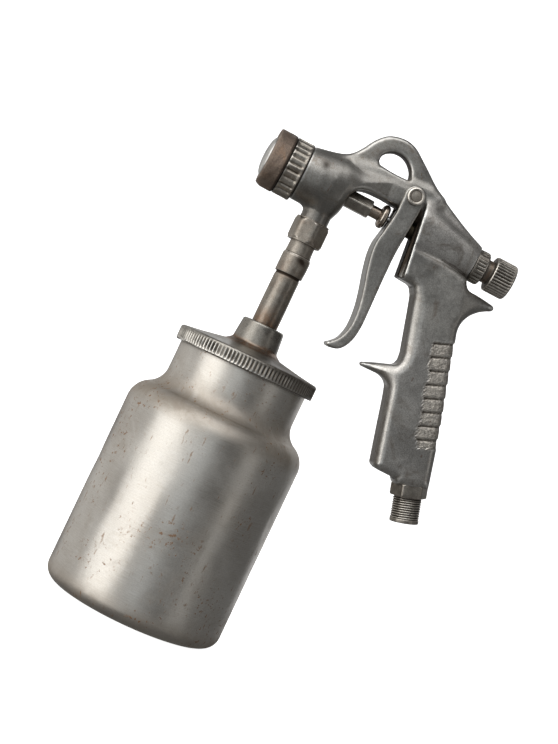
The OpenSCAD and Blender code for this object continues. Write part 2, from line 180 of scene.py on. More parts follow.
def worn_metal(name, base, bright, dark, stain, rough=0.38, stain_amount=0.35, grain=(900, 900, 120),
               hollow_distance=0.005, pits=0.0, mottle=1.0):
    """Old metal: mottled, darkened in its corners by ambient occlusion and with soot or painted shade where a
    point attribute puts it, bright on its edges, with brown stains and fine scratches.
    """
    t = Tree(name)
    wear = t.attribute("wear")
    broad, fine = t.noise(38, 5, 0.6), t.noise(420, 4, 0.6)
    patches = t.plus(t.times(broad, 0.7), t.times(fine, 0.3))
    dull = tuple(c * (1 - 0.22 * mottle) for c in base)
    light = tuple(min(1, c * (1 + 0.12 * mottle)) for c in base)
    colour = t.mix(t.ramp(patches, 0.38, 0.62), dull, light)
    stain_mask = t.ramp(t.noise(75, 6, 0.7, distortion=0.6), 0.46, 0.72)
    colour = t.mix(t.times(stain_mask, stain_amount), colour, stain)
    colour = t.mix(t.ramp(t.noise(1500, 4, 0.8), 0.38, 0.62, 0.5, 0.0), colour, tuple(0.4 * c for c in base))
    edge = t.ramp(t.plus(wear, t.swing(fine, 0.5)), 0.25, 0.75)
    colour = t.mix(edge, colour, bright)
    rust = t.times(t.attribute("rust"), t.ramp(fine, 0.35, 0.6, 0.5, 1.0))
    colour = t.mix(rust, colour, (0.2, 0.115, 0.065))
    # darkening by ambient occlusion in corners, and from the point attribute, which holds soot or painted
    # shade
    grime_and_shade = t.grime_and_shade(wear, broad, hollow_distance, 0.75, 0.55, (0.12, 0.7), 0.8)
    colour = t.mix(grime_and_shade, colour, dark)
    smear = t.noise(1, 5, 0.65, stretch=grain)
    changed = t.plus(t.ramp(patches, 0.35, 0.65, -0.12, 0.12), rough)
    changed = t.plus(changed, t.swing(smear, 0.16))
    changed = t.minus(changed, t.times(edge, 0.12))
    changed = t.plus(changed, t.times(grime_and_shade, 0.25), clamp=True)
    normal = t.bump(smear, 0.35, 0.0002)
    normal = t.bump(broad, 0.5, 0.0006, normal)
    if pits:
        normal = t.bump(t.noise(900, 4, 0.7), pits, 0.0006, normal)
    return t.finished(colour, changed, normal)


def cast_metal():
    """The casting: satin aluminium, rubbed bright on its edges, rough-cast between the grip's grooves, with
    painted light and shade by region and painted shade in its slot, arch, eye and crease.
    """
    t = Tree("cast_alloy_look")
    wear, rough_zone, painted_light_and_shade = t.attribute("wear"), t.attribute("cast_zone"), t.attribute("painted_light_and_shade")
    broad, fine, cast = t.noise(30, 5, 0.6), t.noise(500, 4, 0.6), t.noise(700, 3, 0.6)
    streak = t.noise(1, 4, 0.6, stretch=(260, 260, 1100))
    patches = t.plus(t.times(broad, 0.75), t.times(fine, 0.25))
    colour = t.mix(t.ramp(patches, 0.38, 0.62), (0.345, 0.335, 0.315), (0.505, 0.49, 0.46))
    # painted light and shade from a point attribute: paler where the casting is lit, darker where it is
    # shaded
    colour = t.mix(t.times(painted_light_and_shade, 0.9, clamp=True), colour, (0.62, 0.6, 0.57))
    colour = t.mix(t.times(painted_light_and_shade, -1.0, clamp=True), colour, (0.15, 0.14, 0.125))
    stain_mask = t.times(t.ramp(t.noise(60, 6, 0.72, distortion=0.8), 0.53, 0.70), 0.65)
    colour = t.mix(stain_mask, colour, (0.23, 0.185, 0.145))
    colour = t.mix(t.ramp(t.noise(1500, 4, 0.8), 0.38, 0.62, 0.5, 0.0), colour, (0.17, 0.155, 0.135))
    scratch = t.noise(1, 3, 0.6, stretch=(420, 420, 130), distortion=0.5)
    colour = t.mix(t.times(t.ramp(scratch, 0.69, 0.73), 0.6), colour, (0.2, 0.12, 0.08))
    edge = t.ramp(t.plus(wear, t.swing(fine, 0.4)), 0.22, 0.7)
    colour = t.mix(t.times(edge, 0.8), colour, (0.72, 0.71, 0.68))
    cast_light = t.times(rough_zone, t.ramp(cast, 0.4, 0.6))
    colour = t.mix(t.times(rough_zone, 0.45), colour, (0.21, 0.175, 0.14))
    colour = t.mix(t.times(cast_light, 0.7), colour, (0.58, 0.54, 0.48))
    # darkening by ambient occlusion in corners, and from the point attribute, which holds painted shade in
    # the slot, arch, eye and crease and on forward faces
    grime_and_shade = t.grime_and_shade(wear, broad, 0.008, 0.8, 0.6, (0.1, 0.6), 0.75)
    colour = t.mix(grime_and_shade, colour, (0.05, 0.039, 0.03))
    rough = t.plus(t.ramp(patches, 0.35, 0.65, 0.30, 0.46), t.times(rough_zone, 0.12))
    rough = t.minus(rough, t.times(edge, 0.1))
    rough = t.plus(rough, t.times(grime_and_shade, 0.25), clamp=True)
    normal = t.bump(streak, 0.25, 0.0002)
    normal = t.bump(broad, 0.5, 0.0008, normal)
    normal = t.bump(t.times(cast, rough_zone), 0.9, 0.0008, normal)
    return t.finished(colour, rough, normal)


def spun_metal():
    """The cup: aluminium brushed around its axis, with small rust-brown spots, scratches and dull patches,
    painted shade over its shoulder's bend, and darker towards its foot.
    """
    t = Tree("spun_aluminium_look")
    split = t.node("SeparateXYZ", "Z", {"Vector": t.place}).node.outputs
    height = split["Z"]
    angle = t.math("ARCTAN2", split["Y"], split["X"])
    around = t.node("CombineXYZ", "Vector", {"X": t.times(angle, 5.0), "Y": t.times(height, 2300.0)})
    lines, broad = t.noise(1.0, 5, 0.65, place=around), t.noise(22, 5, 0.6)
    colour = t.mix(t.ramp(broad, 0.35, 0.65), (0.49, 0.455, 0.405), (0.62, 0.59, 0.54))
    colour = t.mix(t.ramp(lines, 0.3, 0.7, 0.0, 0.35), colour, (0.8, 0.79, 0.77))
    # painted shade: the colour is darkened over the shoulder's bend, where a reflected streak of light falls,
    # and darker towards the foot; both uneven
    bend = t.times(t.ramp(height, 0.106, 0.117), t.ramp(height, 0.122, 0.139, 1.0, 0.0))
    foot = t.ramp(height, 0.003, 0.016, 1.0, 0.0)
    rubbed = t.ramp(t.noise(45, 6, 0.7, distortion=0.7), 0.4, 0.62)
    dimmed = t.times(t.larger(bend, foot), t.plus(t.times(rubbed, 0.4), 0.5))
    dull_patches_and_shade = t.times(t.ramp(t.noise(30, 6, 0.7, distortion=0.7), 0.5, 0.68), 0.35)
    dull_patches_and_shade = t.larger(dull_patches_and_shade, dimmed)
    colour = t.mix(dull_patches_and_shade, colour, (0.38, 0.33, 0.275))
    where = t.ramp(t.noise(32, 3, 0.5), 0.44, 0.6)
    spots = t.times(t.ramp(t.noise(430, 4, 0.65), 0.60, 0.64), where)
    scratch = t.noise(1, 4, 0.6, stretch=(330, 330, 90))
    spots = t.larger(spots, t.times(t.ramp(scratch, 0.645, 0.69), 0.7))
    colour = t.mix(t.times(spots, 0.9), colour, (0.34, 0.2, 0.115))
    colour = t.mix(t.ramp(t.noise(1500, 3, 0.7), 0.35, 0.65, 0.22, 0.0), colour, (0.3, 0.28, 0.25))
    colour = t.mix(t.ramp(t.hollows(0.006), 0.25, 0.8), colour, (0.1, 0.08, 0.06))
    rough = t.plus(t.ramp(broad, 0.35, 0.65, 0.30, 0.40), t.swing(lines, 0.22))
    rough = t.plus(rough, t.times(spots, 0.3))
    rough = t.plus(rough, t.times(dull_patches_and_shade, 0.3), clamp=True)
    normal = t.bump(lines, 0.22, 0.00012)
    normal = t.bump(t.noise(14, 3, 0.5), 0.5, 0.0022, normal)
    normal = t.bump(spots, 0.1, 0.0002, normal)
    return t.finished(colour, rough, normal)


def plain_material(name, colour, rough, metallic=0.0, scale=300):
    """A small or inner piece: one finish, lightly mottled."""
    t = Tree(name)
    spot = t.noise(scale, 4, 0.6)
    mottled = t.mix(t.ramp(spot, 0.35, 0.65), tuple(c * 0.85 for c in colour), colour)
    rough_change = t.ramp(spot, 0.3, 0.7, rough - 0.06, rough + 0.06)
    return t.finished(mottled, rough_change, t.bump(spot, 0.2, 0.0002), metallic)


LOOKS = {
    "cast_alloy": cast_metal(),
    "spun_aluminium": spun_metal(),
    "lid_alloy": worn_metal(
        "lid_alloy_look", (0.35, 0.33, 0.295), (0.66, 0.635, 0.59), (0.07, 0.055, 0.042), (0.24, 0.19, 0.15),
        rough=0.36, stain_amount=0.4, hollow_distance=0.003,
    ),
    "turned_alloy": plain_material("turned_alloy_look", (0.6, 0.59, 0.57), 0.35, 1.0),
    "pale_alloy": worn_metal(
        "pale_alloy_look", (0.80, 0.79, 0.76), (0.88, 0.87, 0.85), (0.2, 0.18, 0.16), (0.45, 0.42, 0.38),
        rough=0.42, stain_amount=0.25, hollow_distance=0.002, mottle=0.6,
    ),
    "worn_steel": worn_metal(
        "worn_steel_look", (0.44, 0.405, 0.355), (0.74, 0.7, 0.64), (0.055, 0.042, 0.032), (0.2, 0.15, 0.11),
        rough=0.36, stain_amount=0.5, hollow_distance=0.003,
    ),
    "dark_steel": worn_metal(
        "dark_steel_look", (0.41, 0.375, 0.33), (0.66, 0.62, 0.56), (0.04, 0.032, 0.025), (0.14, 0.11, 0.085),
        rough=0.4, stain_amount=0.5, hollow_distance=0.003,
    ),
    "tarnished_steel": worn_metal(
        "tarnished_steel_look", (0.37, 0.335, 0.29), (0.66, 0.62, 0.56), (0.06, 0.045, 0.034),
        (0.2, 0.14, 0.1), rough=0.4, stain_amount=0.6, grain=(900, 900, 200), hollow_distance=0.004,
    ),
    "browned_steel": worn_metal(
        "browned_steel_look", (0.30, 0.235, 0.19), (0.52, 0.46, 0.4), (0.06, 0.045, 0.035),
        (0.36, 0.225, 0.14), rough=0.52, stain_amount=0.7, hollow_distance=0.003, pits=0.9,
    ),
    "stainless": plain_material("stainless_look", (0.65, 0.65, 0.65), 0.25, 1.0),
    "spring_steel": plain_material("spring_steel_look", (0.5, 0.5, 0.5), 0.3, 1.0),
    "brass": worn_metal(
        "brass_look", (0.27, 0.21, 0.12), (0.45, 0.37, 0.23), (0.07, 0.052, 0.03), (0.16, 0.12, 0.07),
        rough=0.38, hollow_distance=0.003,
    ),
    "worn_brass": worn_metal(
        "worn_brass_look", (0.40, 0.33, 0.27), (0.72, 0.66, 0.58), (0.07, 0.05, 0.035), (0.2, 0.14, 0.1),
        rough=0.3, stain_amount=0.6, hollow_distance=0.003,
    ),
    "ptfe": plain_material("ptfe_look", (0.85, 0.84, 0.81), 0.5),
    "seal_rubber": plain_material("seal_rubber_look", (0.035, 0.035, 0.035), 0.6),
    "gasket": plain_material("gasket_look", (0.13, 0.11, 0.09), 0.7, scale=900),
}

# Near-black brass, painted shade for the inner pieces that show behind the trigger
SHADOW_DARK_BRASS = plain_material("shadow_dark_brass", (0.055, 0.045, 0.03), 0.5, 1.0)


# ---------------------------------------------------------------------------- meshes


def per_point(mesh, what):
    """The co or normal of each vertex, as rows of three."""
    values = np.empty(len(mesh.vertices) * 3, np.float32)
    mesh.vertices.foreach_get(what, values)
    return values.reshape(-1, 3)


def store(mesh, name, values):
    """Keeps a number for each point of the mesh, for its material to read."""
    kept = mesh.attributes.new(name, "FLOAT", "POINT")
    kept.data.foreach_set("value", np.asarray(values, np.float32))


def mark_wear(mesh, spread, gain):
    """Stores how sharply the surface turns at each point as the attribute wear: above 0 on outer edges, below
    0 in hollows, and with a gain of 1 it is 1 at a radius of a millimetre."""
    count = len(mesh.vertices)
    place, normal = per_point(mesh, "co") / MM, per_point(mesh, "normal")
    ends = np.empty(len(mesh.edges) * 2, np.int32)
    mesh.edges.foreach_get("vertices", ends)
    a, b = ends.reshape(-1, 2).T
    a, b = np.concatenate([a, b]), np.concatenate([b, a])
    step = place[b] - place[a]
    length = np.maximum((step**2).sum(1), 1e-6)
    turn = -2 * (step * normal[a]).sum(1) / length
    number = np.maximum(np.bincount(a, minlength=count), 1)
    wear = np.clip(np.bincount(a, turn, count) / number * gain, -1.5, 1.5)
    for _ in range(spread):
        wear = 0.5 * wear + 0.5 * np.bincount(a, wear[b], count) / number
    store(mesh, "wear", wear)


def local_points(piece, where):
    """The piece's points as radius, height and angle in a frame."""
    origin, x, y, z = where
    off = per_point(piece.data, "co") / MM - origin
    return np.hypot(off @ x, off @ y), off @ z, np.arctan2(off @ y, off @ x)


def make_piece(name, body, slot, points, faces, nodes, sharp=35, spread=2, gain=1.0):
    """A smooth-shaded piece from points in millimetres, which rides on its body and stands for the nodes."""
    mesh = bpy.data.meshes.new(name)
    mesh.from_pydata((points * MM).tolist(), [], faces)
    mesh.validate()
    mesh.shade_smooth()
    if sharp:
        mesh.set_sharp_from_angle(angle=math.radians(sharp))
    mark_wear(mesh, spread, gain)
    mesh.materials.append(LOOKS[slot])
    piece = bpy.data.objects.new(name, mesh)
    bpy.context.scene.collection.objects.link(piece)
    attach(piece, body)
    if nodes:
        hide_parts(*nodes)
    return piece


def rounded(outline, radius, steps=4):
    """A closed outline with each corner rounded. radius is one number or one for each corner."""
    outline = [np.array(v, float) for v in outline]
    radii = [radius] * len(outline) if np.isscalar(radius) else list(radius)
    found = []
    for i, corner in enumerate(outline):
        before, after = outline[i - 1] - corner, outline[(i + 1) % len(outline)] - corner
        lb, la = np.linalg.norm(before), np.linalg.norm(after)
        before, after = before / lb, after / la
        cosine = np.clip(before @ after, -1, 1)
        half = math.acos(cosine) / 2
        reach = min(radii[i] / max(math.tan(half), 1e-6), 0.45 * lb, 0.45 * la)
        if radii[i] <= 0 or half > math.radians(88):
            found.append(corner)
            continue
        a, b = corner + before * reach, corner + after * reach
        for t in np.linspace(0, 1, steps + 1):
            found.append((1 - t) ** 2 * a + 2 * t * (1 - t) * corner + t**2 * b)
    return found


def refined(outline, longest):
    """The closed outline with points added, so that no step is longer than that."""
    found = []
    for start, end in zip(outline, [*outline[1:], outline[0]]):
        a, b = np.array(start, float), np.array(end, float)
        number = max(1, math.ceil(np.linalg.norm(b - a) / longest))
        found += [a + (b - a) * k / number for k in range(number)]
    return found


def revolved(outline, where, segments=128, shape=None):
    """Points and faces of a closed outline of (radius, height) turned about a frame's z axis.
    shape(radius, height, angle) may change the radius. Points on the axis become one."""
    outline = np.array(outline, float)
    angle = np.arange(segments) * TAU / segments
    radius = np.repeat(outline[:, :1], segments, 1)
    height = np.repeat(outline[:, 1:], segments, 1)
    if shape is not None:
        radius = shape(radius, height, angle[None, :])
    origin, x, y, z = where
    points = (
        origin
        + (radius * np.cos(angle))[..., None] * x
        + (radius * np.sin(angle))[..., None] * y
        + height[..., None] * z
    )
    rows = len(outline)
    index = np.arange(rows * segments).reshape(rows, segments)
    on_axis = outline[:, 0] < 1e-6
    index[on_axis] = index[on_axis][:, :1]
    faces = []
    for i in range(rows):
        j = (i + 1) % rows
        if on_axis[i] and on_axis[j]:
            continue
        a, b = index[i], index[j]
        c, d = np.roll(b, -1), np.roll(a, -1)
        for quad in np.column_stack([a, b, c, d]).tolist():
            corners = list(dict.fromkeys(quad))
            if len(corners) > 2:
                faces.append(corners)
    used = np.unique(np.concatenate([np.array(f) for f in faces]))
    renumber = np.full(rows * segments, -1)
    renumber[used] = np.arange(len(used))
    faces = [[int(renumber[v]) for v in f] for f in faces]
    points = points.reshape(-1, 3)[used]
    if volume(points, faces) < 0:
        faces = [f[::-1] for f in faces]
    return points, faces


def volume(points, faces):
    """Signed volume of a closed mesh: below 0 where its faces look inwards."""
    total = 0.0
    for size in (3, 4):
        some = np.array([f for f in faces if len(f) == size], int).reshape(-1, size)
        for k in range(1, size - 1):
            a, b, c = points[some[:, 0]], points[some[:, k]], points[some[:, k + 1]]
            total += (np.cross(a, b) * c).sum()
    return total / 6


def turned_piece(name, body, slot, outline, where, nodes, segments=128, shape=None, step=1.5, **more):
    """A piece turned from an outline of (radius, height) about a frame's z axis, as revolved() says."""
    points, faces = revolved(refined(outline, step), where, segments, shape)
    return make_piece(name, body, slot, points, faces, nodes, **more)


def wave(angle, ribs, sharpness):
    """A rounded saw between 0, in the grooves, and 1, on the ribs."""
    return (0.5 + 0.5 * np.cos(angle * ribs)) ** sharpness


def between(x, low, high, soft):
    """1 between low and high, falling to 0 over soft on each side."""
    rise = np.clip((x - low) / soft + 0.5, 0, 1)
    fall = np.clip((high - x) / soft + 0.5, 0, 1)
    return rise * fall


def hexagon_line(across, angle):
    """How far the sides of a hexagon of that width are from its middle, with a corner at angle 0."""
    near = np.mod(angle, math.pi / 3) - math.pi / 6
    return across / 2 / np.cos(near)


def uneven(angle, seed, harmonics=9):
    """A smooth closed wobble around the axis, about -1 to 1."""
    rng = np.random.default_rng(seed)
    total = 0
    for k in range(1, harmonics + 1):
        total = total + rng.normal() / math.sqrt(harmonics) * np.cos(k * angle + rng.uniform(0, TAU))
    return total


# ---------------------------------------------------------------------------- distance fields


def curve(points, steps=6):
    """A smooth open line through the points."""
    v = np.array(points, float)
    v = np.vstack([2 * v[0] - v[1], v, 2 * v[-1] - v[-2]])
    found = []
    for i in range(1, len(v) - 2):
        for t in np.arange(steps) / steps:
            found.append(
                0.5
                * (
                    2 * v[i]
                    + (v[i + 1] - v[i - 1]) * t
                    + (2 * v[i - 1] - 5 * v[i] + 4 * v[i + 1] - v[i + 2]) * t**2
                    + (3 * v[i] - v[i - 1] - 3 * v[i + 1] + v[i + 2]) * t**3
                )
            )
    found.append(v[-2])
    return [tuple(w) for w in found]


def arc(centre, radius, start, end, steps):
    """Points on a circle, from one angle to another in degrees."""
    angles = np.radians(np.linspace(start, end, steps + 1))
    return [(centre[0] + radius * math.cos(a), centre[1] + radius * math.sin(a)) for a in angles]


def flat_distance(outline, p, q):
    """Distance from points to a closed outline in the plane, below 0 inside."""
    nearest = np.full(np.broadcast(p, q).shape, np.inf)
    inside = np.zeros(nearest.shape, bool)
    outline = np.array(outline, float)
    for (ap, aq), (bp, bq) in zip(outline, np.roll(outline, -1, 0)):
        ep, eq = bp - ap, bq - aq
        size = ep * ep + eq * eq
        if size < 1e-12:
            continue
        wp, wq = p - ap, q - aq
        t = np.clip((wp * ep + wq * eq) / size, 0, 1)
        nearest = np.minimum(nearest, (wp - ep * t) ** 2 + (wq - eq * t) ** 2)
        if eq:
            crosses = ((aq <= q) != (bq <= q)) & (p < ap + (q - aq) * ep / eq)
            inside ^= crosses
    return np.where(inside, -1, 1) * np.sqrt(nearest)


def join_soft(a, b, k):
    """Two fields as one body, with a fillet of about k where they meet."""
    h = np.clip(0.5 + 0.5 * (b - a) / k, 0, 1)
    return b + (a - b) * h - k * h * (1 - h)


def cut_soft(a, b, k):
    """Field a without what lies inside b, with a rounded rim of about k."""
    return -join_soft(-a, b, k)


def plate(flat, y, half, edge, deep=None):
    """A flat shape of that half width, with its rims rounded over edge in the plane and deep across it."""
    deep = edge if deep is None else deep
    a, b = flat / edge + 1, (np.abs(y) - half) / deep + 1
    inside = np.minimum(np.maximum(a, b), 0)
    return (inside + np.hypot(np.maximum(a, 0), np.maximum(b, 0)) - 1) * np.minimum(edge, deep)


def bar(p, q, y, start, end, r_start, r_end):
    """A round bar from start to end, each (p, q), that changes radius along its length."""
    (ap, aq), (bp, bq) = start, end
    ep, eq = bp - ap, bq - aq
    t = np.clip(((p - ap) * ep + (q - aq) * eq) / (ep * ep + eq * eq), 0, 1)
    off_axis = np.sqrt((p - ap - ep * t) ** 2 + (q - aq - eq * t) ** 2 + y * y)
    return off_axis - (r_start + (r_end - r_start) * t)


def grid(low, high, step):
    """A grid's places along p, q and y, and flat(), which gives an outline's distance for every y at once."""
    ps, qs, ys = [np.arange(a, b + step, step, dtype=np.float32) for a, b in zip(low, high)]

    def flat(outline):
        return flat_distance(outline, ps[:, None], qs[None, :])[:, :, None].astype(np.float32)

    return ps[:, None, None], qs[None, :, None], ys[None, None, :], flat


def sampled(field, index):
    """The field at fractional grid places, between its samples."""
    base = np.clip(np.floor(index).astype(int), 0, np.array(field.shape) - 2)
    f = index - base
    total = 0
    for corner in np.ndindex(2, 2, 2):
        weight = np.prod(np.where(corner, f, 1 - f), axis=1)
        total = total + weight * field[tuple((base + corner).T)]
    return total


def surface_of(field, low, step):
    """Points and quads of the field's zero level, by surface nets, drawn onto the level itself."""
    inside = field < 0
    size = np.array(field.shape) - 1
    number = np.zeros(size, np.int8)
    for c in np.ndindex(2, 2, 2):
        number += inside[tuple(slice(o, o + n) for o, n in zip(c, size))]
    mixed = (number > 0) & (number < 8)
    cells = np.argwhere(mixed)
    index = np.full(size, -1)
    index[mixed] = np.arange(len(cells))
    total, crossings = np.zeros((len(cells), 3)), np.zeros(len(cells))
    corners = list(np.ndindex(2, 2, 2))
    for a in corners:
        for b in corners:
            if sum(b) == sum(a) + 1 and sum(x != y for x, y in zip(a, b)) == 1:
                fa, fb = field[tuple((cells + a).T)], field[tuple((cells + b).T)]
                crossed = (fa < 0) != (fb < 0)
                t = np.where(crossed, fa / np.where(crossed, fa - fb, 1), 0)
                total += np.where(crossed[:, None], np.array(a) + t[:, None] * (np.array(b) - a), 0)
                crossings += crossed
    places = cells + total / crossings[:, None]
    slopes = np.gradient(field)
    for _ in range(3):
        value = sampled(field, places)
        slope = np.stack([sampled(s, places) for s in slopes], 1)
        places -= np.clip(value / np.maximum((slope**2).sum(1), 1e-6), -1, 1)[:, None] * slope * 0.9
    quads = []
    for axis in range(3):
        u, v = (axis + 1) % 3, (axis + 2) % 3
        first = [slice(1, -1)] * 3
        first[axis] = slice(0, -1)
        second = list(first)
        second[axis] = slice(1, None)
        lower, upper = inside[tuple(first)], inside[tuple(second)]
        for flip, where in ((False, lower & ~upper), (True, ~lower & upper)):
            found = np.argwhere(where)
            found[:, u] += 1
            found[:, v] += 1
            around = []
            for du, dv in ((-1, -1), (0, -1), (0, 0), (-1, 0)):
                cell = found.copy()
                cell[:, u] += du
                cell[:, v] += dv
                around.append(index[tuple(cell.T)])
            quad = np.stack(around, 1)
            quads.append(quad[:, ::-1] if flip else quad)
    return places * step + np.array(low), np.concatenate(quads)


def field_piece(name, body, slot, field, low, step, nodes, **more):
    """A piece from a field over p, q and y, and the piece's points in them. The field is given for y from 0
    up, and is mirrored."""
    whole = np.concatenate([field[:, :, :0:-1], field], 2)
    low = np.array([low[0], low[1], -(field.shape[2] - 1) * step])
    points, quads = surface_of(whole, low, step)
    placed = GUN_ORIGIN + points[:, :1] * P_AXIS + points[:, 1:2] * Q_AXIS + points[:, 2:] * Y_AXIS
    if volume(placed, quads.tolist()) < 0:
        quads = quads[:, ::-1]
    piece = make_piece(name, body, slot, placed, quads.tolist(), nodes, sharp=0, **more)
    return piece, points


# ---------------------------------------------------------------------------- the casting

CAST_STEP = 0.75


def casting():
    """The casting's field, its low corner, and how much of each (p, q) is sunk pad."""
    low, high = (-26.0, -134.0, 0.0), (131.0, 46.0, 17.5)
    p, q, y, flat = grid(low, high, CAST_STEP)
    p2, q2 = p[:, :, 0], q[:, :, 0]
    r = np.sqrt(q * q + y * y)

    # barrel, with the threaded boss in front of it, from a table over p and the distance from the axis
    barrel = [(-24.5, -1), (-24.5, 12.9), (-17.6, 12.9), (-17.6, 15.1), (0, 15.1), (7, 13.2), (11.5, 9.0)]
    barrel = rounded([*barrel, (11.5, -1)], 1.0)
    table_r, columns = 60, 160
    table = flat_distance(barrel, p2, np.linspace(0, table_r, columns, dtype=np.float32)[None])
    at = np.clip(r / table_r * (columns - 1), 0, columns - 1.001)
    k = at.astype(int)
    rows = np.arange(len(p2))[:, None, None]
    f = table[rows, k] * (1 - (at - k)) + table[rows, k + 1] * (at - k)

    # fluid stub, a cone that flares into the barrel; it stands upright
    x, z = p * COS + q * SIN, AXIS_Z - p * SIN + q * COS
    stub_r = np.clip(8.2 + (z - 245.5) * 0.36, 8.2, 12.5)
    stub = np.maximum(np.sqrt(x * x + y * y) - stub_r, np.maximum(236.2 - z, z - 258))
    f = join_soft(f, stub, 3.6)

    # bridge: a round taper from the barrel to the pivot, flattened to the bridge's width
    taper = bar(p, q, y, (-7, 1.0), (40, 15.6), 14.6, 8.2)
    taper = np.maximum(taper, y - (15.2 - np.clip(p / 30, 0, 1) * 7.4))
    f = join_soft(f, taper, 3.5)
    f = join_soft(f, np.maximum(bar(p, q, y, (-16.5, 1.8), (3, 7.0), 14.2, 12.5), -16.8 - p), 4.0)
    bridge = plate(flat([(4, 8), (4, 20), (22, 24.2), (52, 26), (60, 24), (60, 7.5), (20, 7.5)]), y, 7.0, 3.0)
    f = join_soft(f, bridge, 3.0)

    # the arch over the gland
    roof = curve([(11.9, 2.2), (14.3, 5.9), (18.8, 7.8), (26, 8.3), (38, 7.9), (60, 7.5)], 4)
    arch = flat([(11.2, -30), (11.2, 1.0), *roof, (60, -30)])
    f = cut_soft(f, arch, 2.2)

    # hook and the slope to the rear: a flange with a rubbed rim and a D-shaped eye
    rim = curve(
        [(-15, 15.2), (-8, 17.6), (-1, 20.6), (3.3, 24.0), (6.8, 28.9), (9.8, 34.3), (13.3, 38.6),
         (17.6, 41.8), (24.5, 43.6), (30.0, 43.2), (34.5, 41.4), (39.4, 38.1), (44.6, 34.5), (49.7, 30.8),
         (54.8, 27.4), (60.9, 24.0), (73.8, 17.8), (91.6, 10.0)]
    )
    flange = flat([*rim, (91.6, 0), (50, 4), (20, 14), (0, 6), (-15, 4)])
    eye = flat(
        [*curve([(17.6, 26.2), (17.9, 29.4), (20.9, 33.0), (26.1, 34.7), (31.5, 33.4), (35.8, 29.6),
                 (37.5, 25.6), (36.9, 24.2)], 5),
         *curve([(35.8, 23.9), (27.6, 23.7), (19.2, 24.4)], 3)]
    )
    f = join_soft(f, plate(flange, y, 5.5, 2.6), 3.0)
    f = cut_soft(f, plate(eye, y, 40, 1), 2.4)

    # the housing: a rounded box at its front, turned round towards its rear
    t = np.clip((p - 56) / 35.6, 0, 1)
    power = 3.6 - 1.6 * t
    housing = (np.abs(q - 1.2 * (1 - t)) ** power + y**power) ** (1 / power) - (11.9 - 1.9 * t)
    housing = np.maximum(housing, np.maximum(45 - p, p - 91.6))
    housing = join_soft(housing, bar(p, q, y, (54, 13.5), (84, 3.0), 8.5, 7.5), 6.0)

    # grip with its front tang and rear beak
    outline = [
        (50, -6), (50, -26.6), (64.2, -26.7),
        *curve([(66.6, -27.9), (68.2, -30.4), (69.7, -33.5), (75.0, -50.5), (78.8, -62.8)], 4),
        *curve([(79.4, -67.2), (77.8, -70.6), (73.4, -72.6), (67.6, -74.8), (61.4, -77.6)], 4),
        *arc((61.4, -78.9), 1.3, 80, 262, 6),
        *curve([(67.0, -80.0), (73.4, -80.0), (78.2, -82.4), (80.8, -88.0), (86.4, -107.6), (90.7, -122.6),
                (92.0, -126.4), (95.0, -127.9)], 4),
        (106.2, -127.9), (108.2, -130.4), (126.4, -124.4),
        *curve([(126.0, -122.8), (119.9, -101.0), (116.0, -87.0), (108.3, -63.4), (102.4, -45.0),
                (100.3, -38.0), (100.6, -32.6), (103.0, -27.4), (107.2, -23.0), (111.4, -20.2)], 4),
        *arc((112.6, -17.5), 1.9, -70, 84, 6),
        *curve([(109.0, -15.2), (102.0, -15.0), (96.4, -15.0), (93.6, -13.2), (91.6, -9.8)], 4),
        (84, -8), (74, -6.5),
    ]
    flat_grip = flat(outline)
    # how far a point is in front of the grip's front line, or behind its rear line: the tang and the beak
    # get thinner by it
    front = -((p2 - 69.0) * 0.963 + (q2 + 30.0) * 0.268)[:, :, None]
    front = np.where(q2[:, :, None] < -60, front, 0)
    rear = ((p2 - 99.0) * 0.95 + (q2 + 38.0) * 0.30)[:, :, None]
    rear = np.where(q2[:, :, None] > -45, rear, 0)
    half = 11.2 - (np.clip(front / 15, 0, 1) ** 1.4 * 5.4 + np.clip(rear / 17, 0, 1) ** 1.2 * 6.2)
    at_front = np.clip((-27 - q2) / 9, 0, 1) * np.clip((92 - p2 + 0.28 * (q2 + 60)) / 12, 0, 1)
    grip = plate(flat_grip, y, half, (5.0 + 3.0 * at_front)[:, :, None], np.minimum(half - 0.5, 4.5))
    body = join_soft(housing, grip, 1.6)
    before_slot = flat([(30, 60), (52.2, 60), (52.4, 13), (54.2, 1.5), (55.7, -8), (58.3, -24),
                        (58.3, -26.6), (30, -26.6)])
    body = cut_soft(body, before_slot, 1.0)
    f = join_soft(f, body, 2.5)
    nose = plate(flat([(52.4, 12), (52.4, 3), (56, -26.4), (70, -27.5), (70, 12)]), y, 6.6, 1.2)
    f = join_soft(f, nose, 0.8)
    boss = bar(p, q, y, (117.4, -127.0), (112.5, -112.0), 9.6, 9.6)
    boss = np.maximum(boss, (p - 117.4) * math.sin(LEAN) - (q + 127.0) * math.cos(LEAN))
    f = join_soft(f, boss, 2.0)

    # eight sunk pads across the rear of the grip's sides, each under a groove
    along = (p2 - 100.8) * 0.373 - (q2 + 46.6) * 0.928
    across = (p2 - 90.1) * 0.953 + (q2 + 50.9) * 0.303
    pitch = 7.79
    part = np.mod(along / pitch, 1.0)
    jog = 0.7 * np.sin(np.floor(along / pitch) * 2.4)
    zone = between(along, -0.6, 59.2, 0.8) * np.clip((across + jog) / 0.8, 0, 1)
    groove = np.exp(-((np.minimum(part, 1 - part) / 0.085) ** 2))
    sunk = 0.65 - 0.45 * part + 0.95 * groove
    side = np.clip((y - 3.5) / 3, 0, 1)
    f = f + (zone * sunk)[:, :, None] * side

    # bores that show, as radius, start and end: the spot face behind the head, the mouth and throat of the
    # housing, and the bore at the barrel's front
    for bore_r, start, end in ((6.2, 11.4, 27), (8.6, 60, 95), (4.7, 50, 64), (6.1, -30, -10)):
        f = np.maximum(f, -np.maximum(r - bore_r, np.maximum(start - p, p - end)))
    return f.astype(np.float32), low, zone


